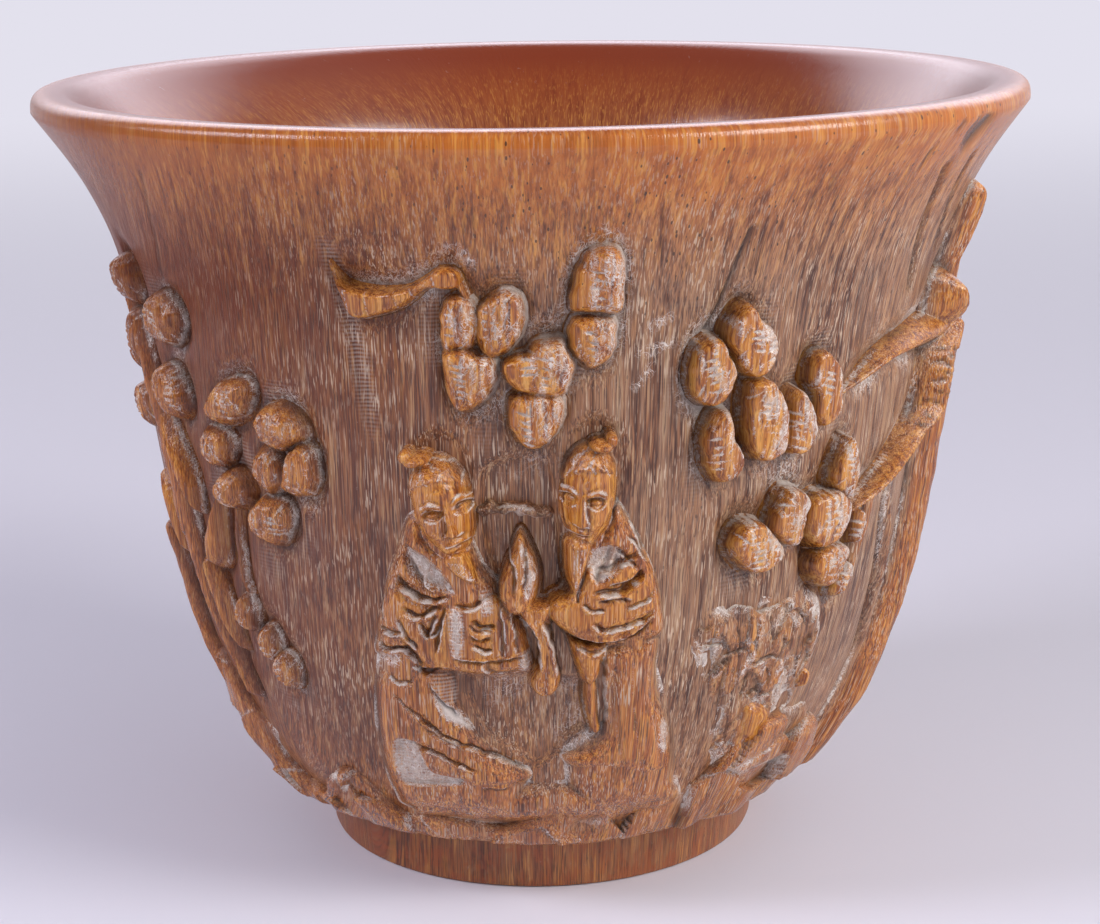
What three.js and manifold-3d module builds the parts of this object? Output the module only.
// A carved horn libation cup: a flared bowl with two scholars under pine trees in relief,
// a stepped floor plug let into its narrow end, and a turned foot ring under both.
// Millimetres, +Z up, origin on the table under the middle of the cup, front towards -Y.

import * as THREE from "three";
import { mergeVertices } from "three/addons/utils/BufferGeometryUtils.js";
import Module from "manifold-3d";

// Driving dimensions: the outline of the cup
const cupHeight = 95;
const rimRadius = 60;
const lipRounding = 2.2;
const flareRadius = 54.2;
const flareHeight = 84;
const throatRadius = 50.2;
const throatHeight = 73;
const bellyRadius = 48.1;
const bellyHeight = 58;
const hipRadius = 44.6;
const hipHeight = 36;
const rootRadius = 38.8;
const rootHeight = 19;
const toeRadius = 31.8;
const toeHeight = 8.6;

// The horn's thickness, measured level at each height
const lipWidth = 5.6;
const lipFall = 1.4;
const flareWall = 6.8;
const throatWall = 4.9;
const bellyWall = 4.6;
const hipWall = 5.2;
const rootWall = 9.6;
const floorThickness = 3;

// Foot ring and floor plug
const footHeight = 6.6;
const footTopRadius = 28;
const footBottomRadius = 27.3;
const footBoreRadius = 20.5;
const footBoreFlare = 1.2;
const footEdge = 0.6;
const seatMargin = 0.6;
const plugRadius = 24;
const plugRimThickness = 4;
const plugCrownRadius = 20.3;
const plugCrownRise = 2.2;
const plugDish = 0.8;
const glueGap = 0.3;

// Sizes that the carving is made in
const leafHalfWidth = 2.6;
const leafHalfHeight = 3.4;
const leafRelief = 2.4;
const clusterSpread = 3.6;
const trunkHalfWidth = 3.8;
const trunkRelief = 5;
const branchHalfWidth = 2.4;
const branchRelief = 3.4;
const twigHalfWidth = 1.1;
const twigRelief = 1.8;
const rockHalfWidth = 8.6;
const rockHalfHeight = 3.5;
const rockRelief = 1.9;
const ridgeHalfWidth = 1.7;
const ridgeRelief = 1.8;
const robeHalfWidth = 6.4;
const robeRelief = 3;
const headHalfWidth = 3.4;
const headHalfHeight = 6;
const headRelief = 4.2;
const sleeveHalfWidth = 5.4;
const sleeveHalfHeight = 5.2;
const sleeveRelief = 4.3;
const carvingRoot = 1.5;
const carvingSink = 0.3;

// How finely round shapes are cut into facets
const wallSegments = 60;
const lipSteps = 3;
const outerSteps = 11;
const innerSteps = 8;
const lumpSides = 8;
const lumpRings = 4;
const barSides = 6;
const stepsPerReach = 2;

const wasm = await Module();
wasm.setup();

// Turns a closed geometry into a solid that can be joined and cut.
function solidFrom(geometry) {
  geometry.deleteAttribute("normal");
  geometry.deleteAttribute("uv");
  const merged = mergeVertices(geometry);
  const index = merged.index.array;
  const kept = [];
  for (let i = 0; i < index.length; i += 3) {
    const corners = [index[i], index[i + 1], index[i + 2]];
    if (new Set(corners).size === 3) kept.push(...corners);
  }
  const vertProperties = merged.attributes.position.array;
  const triVerts = new Uint32Array(kept);
  return new wasm.Manifold(new wasm.Mesh({ numProp: 3, vertProperties, triVerts }));
}

// Turns a solid back into a geometry for a mesh.
function geometryFrom(solid) {
  const mesh = solid.getMesh();
  const geometry = new THREE.BufferGeometry();
  geometry.setAttribute("position", new THREE.BufferAttribute(mesh.vertProperties, 3));
  geometry.setIndex(new THREE.BufferAttribute(mesh.triVerts, 1));
  geometry.computeVertexNormals();
  return geometry;
}

// Turns a closed profile of radius and height about the vertical axis.
function turned(profile) {
  const geometry = new THREE.LatheGeometry(profile, wallSegments);
  return geometry.rotateX(Math.PI / 2);
}

// The outer outline of the plain wall, from the foot's seat to the widest point of the lip
const rimHeight = cupHeight - lipRounding;
const outerOutline = new THREE.SplineCurve([
  new THREE.Vector2(footTopRadius + seatMargin, footHeight),
  new THREE.Vector2(toeRadius, toeHeight),
  new THREE.Vector2(rootRadius, rootHeight),
  new THREE.Vector2(hipRadius, hipHeight),
  new THREE.Vector2(bellyRadius, bellyHeight),
  new THREE.Vector2(throatRadius, throatHeight),
  new THREE.Vector2(flareRadius, flareHeight),
  new THREE.Vector2(rimRadius, rimHeight),
]).getPoints(outerSteps);

// The radius of the plain wall at a height.
function wallRadius(height) {
  let above = outerOutline.findIndex((point) => point.y >= height);
  if (above < 1) above = above < 0 ? outerOutline.length - 1 : 1;
  const low = outerOutline[above - 1];
  const high = outerOutline[above];
  return THREE.MathUtils.mapLinear(height, low.y, high.y, low.x, high.x);
}

// The height at a share of the carved wall, from the foot's seat to the crest of the rim.
function heightAt(share) {
  return THREE.MathUtils.lerp(footHeight, cupHeight, share);
}

// The bowl's wall: seat, rebate for the plug, outer outline, rounded lip and inside.
function bowlWall() {
  const openingRadius = plugCrownRadius + glueGap;
  const rebateRadius = plugRadius + glueGap;
  const shoulderHeight = footHeight + plugRimThickness;
  const floorHeight = shoulderHeight + floorThickness;
  const lipCentre = rimRadius - lipRounding;
  const lip = new THREE.EllipseCurve(
    lipCentre, rimHeight, lipRounding, lipRounding, 0, Math.PI / 2,
  ).getPoints(lipSteps).slice(1);
  const inside = new THREE.SplineCurve([
    new THREE.Vector2(lipCentre, cupHeight),
    new THREE.Vector2(rimRadius - lipWidth, cupHeight - lipFall),
    new THREE.Vector2(flareRadius - flareWall, flareHeight),
    new THREE.Vector2(throatRadius - throatWall, throatHeight),
    new THREE.Vector2(bellyRadius - bellyWall, bellyHeight),
    new THREE.Vector2(hipRadius - hipWall, hipHeight),
    new THREE.Vector2(rootRadius - rootWall, rootHeight),
    new THREE.Vector2(openingRadius, floorHeight),
  ]).getPoints(innerSteps).slice(1);
  const shoulder = new THREE.Vector2(openingRadius, shoulderHeight);
  return turned([
    shoulder,
    new THREE.Vector2(rebateRadius, shoulderHeight),
    new THREE.Vector2(rebateRadius, footHeight),
    ...outerOutline,
    ...lip,
    ...inside,
    shoulder,
  ]);
}

// Puts a point of the carving on the wall. Across and up are level and upright distances
// from the place given by a turn from the front and a height, and out is the relief.
function onWall(turn, height, across, up, out) {
  const raised = height + up;
  const ground = wallRadius(raised);
  const angle = THREE.MathUtils.degToRad(turn) + across / ground;
  const radius = ground + out;
  return new THREE.Vector3(radius * Math.sin(angle), -radius * Math.cos(angle), raised);
}

// Moves each vertex of a unit shape by a function of its place.
function reshaped(geometry, place) {
  const position = geometry.attributes.position;
  for (let i = 0; i < position.count; i += 1) {
    const moved = place(position.getX(i), position.getY(i), position.getZ(i));
    position.setXYZ(i, moved.x, moved.y, moved.z);
  }
  return geometry;
}

// A rounded boss on the wall, leaning to the right by an angle in degrees.
function lump(turn, heightShare, halfWidth, halfHeight, relief, lean = 0) {
  const tilt = THREE.MathUtils.degToRad(lean);
  const unit = new THREE.SphereGeometry(1, lumpSides, lumpRings);
  return solidFrom(reshaped(unit, (x, y, z) => {
    const wide = halfWidth * x;
    const tall = -halfHeight * z;
    const across = wide * Math.cos(tilt) + tall * Math.sin(tilt);
    const up = tall * Math.cos(tilt) - wide * Math.sin(tilt);
    const out = (y > 0 ? relief : carvingRoot) * y - carvingSink;
    return onWall(turn, heightAt(heightShare), across, up, out);
  }));
}

// A rounded bar along a path over the wall. Each row of the path holds a turn, a share of the
// carved height and a share of the half width, and the relief falls with the width.
function bar(pathShares, halfWidth, relief) {
  const line = new THREE.CatmullRomCurve3(
    pathShares.map(([turn, share, width]) => new THREE.Vector3(turn, heightAt(share), width)),
  );
  const steps = (pathShares.length - 1) * stepsPerReach;
  const unit = new THREE.CylinderGeometry(1, 1, 1, barSides, steps);
  return solidFrom(reshaped(unit, (x, y, z) => {
    const along = THREE.MathUtils.clamp(y + 1 / 2, 0, 1);
    const centre = line.getPoint(along);
    const heading = line.getTangent(along);
    const ground = wallRadius(centre.y);
    const sideways = THREE.MathUtils.degToRad(heading.x) * ground;
    const length = Math.hypot(sideways, heading.y);
    const across = halfWidth * centre.z * x * heading.y / length;
    const up = -halfWidth * centre.z * x * sideways / length;
    const out = (z > 0 ? relief * Math.sqrt(centre.z) : carvingRoot) * z - carvingSink;
    return onWall(centre.x, centre.y, across, up, out);
  }));
}

// Rows of pine tufts: turn, share of the carved height, share of the half width, share of the
// half height, lean to the right.
const centrePineShares = [
  [-8, 0.764, 0.75, 0.95, 0],
  [-3.3, 0.764, 0.9, 1.05, 20],
  [-7.4, 0.699, 1, 0.95, 0],
  [1, 0.715, 1.3, 0.95, 0],
  [0.1, 0.645, 0.95, 0.85, 0],
  [7.3, 0.818, 1, 1.1, 8],
  [7.1, 0.74, 0.85, 0.85, 0],
];
const rightPineShares = [
  [26.2, 0.73, 1.15, 1.1, -10],
  [21.5, 0.697, 1, 1.1, 0],
  [28.9, 0.628, 1.1, 1.35, 0],
  [35.2, 0.612, 0.95, 1.05, 15],
  [23.5, 0.594, 0.95, 1.15, 0],
  [39.5, 0.655, 1.15, 1.25, -10],
  [29.2, 0.46, 1.25, 1, 0],
  [35.2, 0.491, 1.1, 1.15, 0],
  [40.5, 0.473, 1.2, 1.1, 0],
  [45.6, 0.543, 0.8, 1.25, 20],
  [44, 0.402, 1.2, 0.95, 0],
  [48.5, 0.377, 0.8, 0.8, 0],
];
const leftPineShares = [
  [-71, 0.775, 1, 0.95, 0],
  [-57, 0.734, 1.35, 1.05, 0],
  [-66, 0.714, 1, 1.1, 0],
  [-57, 0.643, 1.4, 1.05, 0],
  [-67, 0.612, 1.1, 0.95, 0],
  [-61, 0.502, 1.1, 1.6, 0],
  [-68, 0.436, 1.2, 1.4, 0],
  [-50.2, 0.443, 1.3, 1.3, -15],
  [-42.2, 0.633, 1.4, 0.85, 0],
  [-33.5, 0.618, 1.3, 0.8, 0],
  [-31.6, 0.563, 1.05, 0.9, 0],
  [-45.7, 0.575, 1.35, 0.8, 0],
  [-43.6, 0.517, 1.15, 0.8, 0],
  [-37.2, 0.489, 1.25, 0.85, 0],
  [-46.8, 0.338, 0.95, 0.75, 0],
  [-42.8, 0.304, 1, 0.78, 0],
  [-40.1, 0.27, 1, 0.78, 0],
];

// Clusters of tufts on the back of the cup: turn, share of the carved height
const backClusterShares = [
  [104, 0.7],
  [118, 0.5],
  [140, 0.74],
  [160, 0.58],
  [196, 0.7],
  [222, 0.54],
  [246, 0.74],
];
const clusterTufts = 4;

// Branches: rows of turn, share of the carved height, share of the half width
const centreBranchShares = [
  [-23, 0.822, 0.45],
  [-19.5, 0.785, 1],
  [-16, 0.79, 1],
  [-12.4, 0.812, 0.95],
  [-9.6, 0.826, 0.9],
  [-7.6, 0.8, 0.7],
];
const rightTrunkShares = [
  [76, 0.05, 1.25],
  [80, 0.2, 1],
  [82, 0.36, 0.9],
  [83, 0.52, 0.95],
  [81, 0.66, 1.05],
  [76, 0.72, 1],
];
const rightCrownShares = [
  [76, 0.7, 1.3],
  [74.5, 0.78, 1],
  [77, 0.88, 0.5],
];
const rightLoopShares = [
  [77, 0.7, 1],
  [70, 0.63, 1.1],
  [66.5, 0.575, 1.05],
  [66, 0.525, 1],
  [60, 0.495, 0.85],
  [52, 0.475, 0.6],
];
const rightBranchShares = [
  [72, 0.7, 1],
  [60.6, 0.68, 0.9],
  [52.3, 0.657, 0.7],
  [44, 0.645, 0.4],
];
const leftTrunkShares = [
  [-68, 0.82, 0.5],
  [-63, 0.68, 0.8],
  [-66, 0.56, 1],
  [-60, 0.44, 1.1],
  [-54.5, 0.35, 1],
  [-51, 0.2, 0.8],
];
const leftBranchShares = [
  [-60, 0.56, 0.8],
  [-50, 0.545, 1],
  [-42, 0.56, 0.9],
  [-36, 0.575, 0.5],
];
const backTrunkShares = [
  [176, 0.04, 1.2],
  [181, 0.2, 1],
  [174, 0.38, 0.85],
  [182, 0.56, 0.75],
  [178, 0.74, 0.5],
];
const backRightBranchShares = [
  [176, 0.44, 1],
  [160, 0.5, 0.9],
  [146, 0.64, 0.7],
  [138, 0.72, 0.4],
];
const backLeftBranchShares = [
  [181, 0.54, 1],
  [198, 0.6, 0.9],
  [220, 0.6, 0.8],
  [242, 0.7, 0.4],
];
const trunkToBackShares = [
  [82, 0.56, 1],
  [92, 0.6, 0.9],
  [103, 0.62, 0.8],
  [114, 0.54, 0.5],
];

// Rock ridges: rows of turn, share of the carved height, share of the half width
const frontRidgeShares = [
  [15, 0.12, 0.6],
  [27, 0.18, 1],
  [39, 0.215, 1],
  [50, 0.16, 0.6],
];
const leftRidgeShares = [
  [-62, 0.2, 0.6],
  [-50, 0.15, 1],
  [-42, 0.09, 1.2],
  [-34, 0.06, 0.8],
];
const backRidgeShares = [
  [112, 0.2, 0.6],
  [128, 0.27, 1.2],
  [146, 0.17, 1],
  [160, 0.1, 0.6],
];
const farRidgeShares = [
  [206, 0.1, 0.6],
  [224, 0.22, 1.2],
  [242, 0.26, 1.1],
  [262, 0.14, 0.6],
];

// The scholar on the left, who bows to the right: rows as for bars and lumps
const leftRobeShares = [
  [-14, 0.09, 1.1],
  [-17.5, 0.2, 0.95],
  [-17, 0.32, 1],
  [-14.5, 0.43, 1],
  [-12.5, 0.53, 0.6],
];
const leftSkirtShares = [
  [-15, 0.22, 0.8],
  [-9, 0.13, 1],
  [-1, 0.09, 0.5],
];

// The scholar on the right, who faces left
const rightRobeShares = [
  [12.5, 0.09, 1.05],
  [12, 0.24, 0.85],
  [10.8, 0.4, 0.9],
  [9.5, 0.53, 0.65],
];

// The parts of the scholars: turn, share of the carved height, shares of the half width, the
// half height and the relief of what they are made from, lean to the right
const headShares = [
  [-11.8, 0.52, 1.05, 1.05, 1, -14],
  [6.8, 0.548, 1, 0.95, 1, 4],
];
const topknotShares = [
  [-12.6, 0.606, 0.55, 0.22, 0.7, 0],
  [8, 0.618, 0.4, 0.24, 0.7, 0],
];
const sleeveShares = [
  [-5.4, 0.352, 1, 1, 1, 0],
  [8.4, 0.4, 0.8, 0.75, 1, 10],
  [6.8, 0.33, 0.36, 0.7, 0.95, 0],
  [0.6, 0.4, 0.55, 0.5, 0.85, 0],
  [-1.5, 0.466, 0.34, 0.56, 0.8, 0],
  [0.8, 0.296, 0.34, 0.36, 0.7, 0],
  [7.9, 0.25, 0.16, 0.7, 0.55, 0],
];
const beardShares = [
  [5, 0.46, 0.36, 0.6, 0.95, 0],
];

// The rocks that the scene stands on, all round the foot
const rockCount = 14;
const rockLevelShare = 0.045;
const rockSwellShares = [1, 0.8, 1.2, 0.9, 1.1];

// Every piece of carving that stands on the wall.
function carving() {
  const tufts = [...centrePineShares, ...rightPineShares, ...leftPineShares].map(
    ([turn, share, wide, tall, lean]) =>
      lump(turn, share, leafHalfWidth * wide, leafHalfHeight * tall, leafRelief, lean),
  );
  const backTufts = backClusterShares.flatMap(([turn, share]) => {
    const middle = heightAt(share);
    return Array.from({ length: clusterTufts }, (_, i) => {
      const around = (2 * Math.PI * i) / clusterTufts;
      const aside = (clusterSpread * Math.cos(around)) / wallRadius(middle);
      const raised = middle + clusterSpread * Math.sin(around);
      const raisedShare = (raised - footHeight) / (cupHeight - footHeight);
      const tuftTurn = turn + THREE.MathUtils.radToDeg(aside);
      return lump(tuftTurn, raisedShare, leafHalfWidth, leafHalfHeight, leafRelief);
    });
  });
  const trunks = [rightTrunkShares, rightCrownShares].map(
    (shares) => bar(shares, trunkHalfWidth, trunkRelief),
  );
  const branches = [
    rightLoopShares, leftTrunkShares, backTrunkShares, centreBranchShares,
  ].map((shares) => bar(shares, branchHalfWidth, branchRelief));
  const twigs = [
    rightBranchShares, leftBranchShares, backRightBranchShares, backLeftBranchShares,
    trunkToBackShares,
  ].map((shares) => bar(shares, twigHalfWidth, twigRelief));
  const ridges = [frontRidgeShares, leftRidgeShares, backRidgeShares, farRidgeShares].map(
    (shares) => bar(shares, ridgeHalfWidth, ridgeRelief),
  );
  const robes = [leftRobeShares, leftSkirtShares, rightRobeShares].map(
    (shares) => bar(shares, robeHalfWidth, robeRelief),
  );
  const heads = [...headShares, ...topknotShares, ...beardShares].map(
    ([turn, share, wide, tall, high, lean]) => lump(
      turn, share, headHalfWidth * wide, headHalfHeight * tall, headRelief * high, lean,
    ),
  );
  const sleeves = sleeveShares.map(([turn, share, wide, tall, high, lean]) => lump(
    turn, share, sleeveHalfWidth * wide, sleeveHalfHeight * tall, sleeveRelief * high, lean,
  ));
  const rocks = Array.from({ length: rockCount }, (_, i) => {
    const swell = rockSwellShares[i % rockSwellShares.length];
    return lump(
      (360 * i) / rockCount, rockLevelShare, rockHalfWidth, rockHalfHeight, rockRelief * swell,
    );
  });
  return [
    ...tufts, ...backTufts, ...trunks, ...branches, ...twigs, ...ridges, ...robes, ...heads,
    ...sleeves, ...rocks,
  ];
}

// The bowl, with its relief carved from the same horn.
function bowl() {
  const solid = carving().reduce((sum, piece) => sum.add(piece), solidFrom(bowlWall()));
  const material = new THREE.MeshStandardMaterial({ color: 0x9a5a2e, roughness: 0.35 });
  const mesh = new THREE.Mesh(geometryFrom(solid), material);
  mesh.name = "bowl";
  return mesh;
}

// The floor plug: a stepped disc, held between the bowl's shoulder and the foot ring.
function floorPlug() {
  const shoulderHeight = footHeight + plugRimThickness;
  const crownHeight = shoulderHeight + plugCrownRise;
  const profile = [
    new THREE.Vector2(0, footHeight),
    new THREE.Vector2(plugRadius, footHeight),
    new THREE.Vector2(plugRadius, shoulderHeight),
    new THREE.Vector2(plugCrownRadius, shoulderHeight),
    new THREE.Vector2(plugCrownRadius, crownHeight),
    new THREE.Vector2(0, crownHeight - plugDish),
  ];
  const material = new THREE.MeshStandardMaterial({ color: 0x7d4526, roughness: 0.4 });
  const mesh = new THREE.Mesh(geometryFrom(solidFrom(turned(profile))), material);
  mesh.name = "floor_plug";
  return mesh;
}

// The foot ring: a turned ring with a flat bearing face, tapering a little to the table.
function footRing() {
  const bottomEdge = footBottomRadius - footEdge;
  const boreMouth = footBoreRadius + footBoreFlare;
  const profile = [
    new THREE.Vector2(footBoreRadius, footHeight),
    new THREE.Vector2(boreMouth, footEdge),
    new THREE.Vector2(boreMouth + footEdge, 0),
    new THREE.Vector2(bottomEdge, 0),
    new THREE.Vector2(footBottomRadius, footEdge),
    new THREE.Vector2(footTopRadius, footHeight),
    new THREE.Vector2(footBoreRadius, footHeight),
  ];
  const material = new THREE.MeshStandardMaterial({ color: 0x8a4c28, roughness: 0.4 });
  const mesh = new THREE.Mesh(geometryFrom(solidFrom(turned(profile))), material);
  mesh.name = "foot_ring";
  return mesh;
}

const group = new THREE.Group();
group.name = "libation_cup";
group.add(bowl(), floorPlug(), footRing());

export default group;
